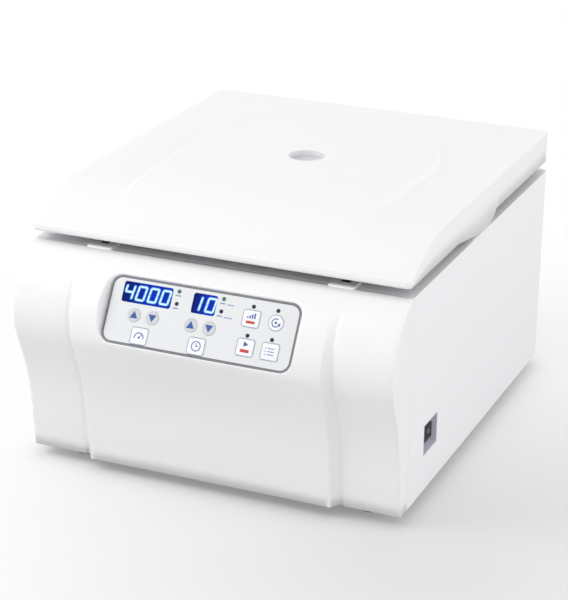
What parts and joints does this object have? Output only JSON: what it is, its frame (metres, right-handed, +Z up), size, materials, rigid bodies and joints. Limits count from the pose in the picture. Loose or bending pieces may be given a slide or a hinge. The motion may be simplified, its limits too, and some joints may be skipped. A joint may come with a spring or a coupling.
{
  "type": "clinical centrifuge",
  "caption": "Bench-top clinical centrifuge with a hinged lid, swing-out rotor in a round chamber, sloped key panel with two displays and a side power switch.",
  "frame": {"origin": "on the table under the middle of the machine's box", "axes": "+X to the right seen from the front, +Y to the back, +Z up; the key panel faces -Y"},
  "size_m": [0.4, 0.4934, 0.282],
  "materials": {
    "moulded_white": "smooth satin moulding",
    "painted_steel": "fine powder coat",
    "zinc_steel": "zinc plated",
    "stainless_steel": "brushed",
    "anodised_aluminium": "anodised",
    "cast_aluminium": "as cast",
    "dark_rubber": "matt",
    "printed_film": "matt film",
    "key_film": "matt film",
    "display_filter": "tinted",
    "lamp_lens": "clear tinted",
    "circuit_board": "solder mask",
    "black_plastic": "moulded",
    "clear_window": "polished",
    "grey_plastic": "moulded"
  },
  "bodies": {
    "cabinet": {"base_pan": "zinc_steel", "cabinet": "painted_steel", "front_cover": "moulded_white", "top_deck": "painted_steel", "chamber_bowl": "stainless_steel", "guard_ring": "zinc_steel", "motor_plate": "zinc_steel", "motor_dampers": "dark_rubber", "motor_housing": "cast_aluminium", "shaft_boot": "dark_rubber", "control_overlay": "printed_film", "display_speed": "display_filter", "display_time": "display_filter", "indicator_leds": "lamp_lens", "control_board": "circuit_board", "drive_board": "circuit_board", "switch_well": "moulded_white", "switch_bezel": "black_plastic", "power_inlet": "black_plastic", "hinge_brackets": "zinc_steel", "hinge_pins": "stainless_steel", "latch_block_left": "zinc_steel", "latch_block_right": "zinc_steel", "foot_screws": "stainless_steel", "cabinet_screws": "stainless_steel", "foot_front_left": "dark_rubber", "foot_front_right": "dark_rubber", "foot_rear_left": "dark_rubber", "foot_rear_right": "dark_rubber"},
    "lid": {"lid_shell": "moulded_white", "lid_liner": "stainless_steel", "lid_gasket": "dark_rubber", "lid_screws": "stainless_steel", "view_window": "clear_window", "window_ring": "grey_plastic", "lid_hook_left": "black_plastic", "lid_hook_right": "black_plastic", "hinge_leaves": "zinc_steel"},
    "rotor": {"rotor_head": "anodised_aluminium", "rotor_nut": "stainless_steel", "motor_shaft": "stainless_steel"},
    "bucket_1": {"bucket_1": "anodised_aluminium"},
    "bucket_2": {"bucket_2": "anodised_aluminium"},
    "bucket_3": {"bucket_3": "anodised_aluminium"},
    "bucket_4": {"bucket_4": "anodised_aluminium"},
    "key_speed_up": {"key_speed_up": "key_film"},
    "key_speed_down": {"key_speed_down": "key_film"},
    "key_time_up": {"key_time_up": "key_film"},
    "key_time_down": {"key_time_down": "key_film"},
    "key_speed_mode": {"key_speed_mode": "key_film"},
    "key_time_mode": {"key_time_mode": "key_film"},
    "key_soft_stop": {"key_soft_stop": "key_film"},
    "key_quick_spin": {"key_quick_spin": "key_film"},
    "key_start_stop": {"key_start_stop": "key_film"},
    "key_program": {"key_program": "key_film"},
    "power_switch": {"power_rocker": "black_plastic"},
    "fuse_tray": {"fuse_drawer": "black_plastic"},
    "latch_left": {"latch_bolt_left": "stainless_steel"},
    "latch_right": {"latch_bolt_right": "stainless_steel"}
  },
  "joints": [
    {"name": "lid_hinge", "type": "hinge", "parent": "cabinet", "child": "lid", "pos_m": [0, 0.237, 0.242], "axis": [-1, 0, 0], "range_deg": [0, 80]},
    {"name": "rotor_spin", "type": "hinge", "parent": "cabinet", "child": "rotor", "pos_m": [0, 0.033, 0.185], "axis": [0, 0, 1], "continuous": true},
    {"name": "bucket_1_swing", "type": "hinge", "parent": "rotor", "child": "bucket_1", "pos_m": [0.078, 0.033, 0.185], "axis": [0, -1, 0], "range_deg": [0, 90]},
    {"name": "bucket_2_swing", "type": "hinge", "parent": "rotor", "child": "bucket_2", "pos_m": [0, 0.111, 0.185], "axis": [1, 0, 0], "range_deg": [0, 90]},
    {"name": "bucket_3_swing", "type": "hinge", "parent": "rotor", "child": "bucket_3", "pos_m": [-0.078, 0.033, 0.185], "axis": [0, 1, 0], "range_deg": [0, 90]},
    {"name": "bucket_4_swing", "type": "hinge", "parent": "rotor", "child": "bucket_4", "pos_m": [0, -0.045, 0.185], "axis": [-1, 0, 0], "range_deg": [0, 90]},
    {"name": "key_speed_up_press", "type": "slide", "parent": "cabinet", "child": "key_speed_up", "axis": [0, 0.8572, -0.515], "range_m": [0, 0.0005], "stiffness_N_per_m": 400},
    {"name": "key_speed_down_press", "type": "slide", "parent": "cabinet", "child": "key_speed_down", "axis": [0, 0.8572, -0.515], "range_m": [0, 0.0005], "stiffness_N_per_m": 400},
    {"name": "key_time_up_press", "type": "slide", "parent": "cabinet", "child": "key_time_up", "axis": [0, 0.8572, -0.515], "range_m": [0, 0.0005], "stiffness_N_per_m": 400},
    {"name": "key_time_down_press", "type": "slide", "parent": "cabinet", "child": "key_time_down", "axis": [0, 0.8572, -0.515], "range_m": [0, 0.0005], "stiffness_N_per_m": 400},
    {"name": "key_speed_mode_press", "type": "slide", "parent": "cabinet", "child": "key_speed_mode", "axis": [0, 0.8572, -0.515], "range_m": [0, 0.0005], "stiffness_N_per_m": 400},
    {"name": "key_time_mode_press", "type": "slide", "parent": "cabinet", "child": "key_time_mode", "axis": [0, 0.8572, -0.515], "range_m": [0, 0.0005], "stiffness_N_per_m": 400},
    {"name": "key_soft_stop_press", "type": "slide", "parent": "cabinet", "child": "key_soft_stop", "axis": [0, 0.8572, -0.515], "range_m": [0, 0.0005], "stiffness_N_per_m": 400},
    {"name": "key_quick_spin_press", "type": "slide", "parent": "cabinet", "child": "key_quick_spin", "axis": [0, 0.8572, -0.515], "range_m": [0, 0.0005], "stiffness_N_per_m": 400},
    {"name": "key_start_stop_press", "type": "slide", "parent": "cabinet", "child": "key_start_stop", "axis": [0, 0.8572, -0.515], "range_m": [0, 0.0005], "stiffness_N_per_m": 400},
    {"name": "key_program_press", "type": "slide", "parent": "cabinet", "child": "key_program", "axis": [0, 0.8572, -0.515], "range_m": [0, 0.0005], "stiffness_N_per_m": 400},
    {"name": "power_rocker_tilt", "type": "hinge", "parent": "cabinet", "child": "power_switch", "pos_m": [0.192, -0.123, 0.067], "axis": [0, 0, 1], "range_deg": [0, 14]},
    {"name": "fuse_tray_slide", "type": "slide", "parent": "cabinet", "child": "fuse_tray", "axis": [0, 1, 0], "range_m": [0, 0.015]},
    {"name": "latch_right_throw", "type": "slide", "parent": "cabinet", "child": "latch_right", "axis": [0, -1, 0], "range_m": [0, 0.008]},
    {"name": "latch_left_throw", "type": "slide", "parent": "cabinet", "child": "latch_left", "axis": [0, -1, 0], "range_m": [0, 0.008]}
  ],
  "couplings": [
    {"joint": "latch_left_throw", "follows": "latch_right_throw", "ratio": 1}
  ]
}
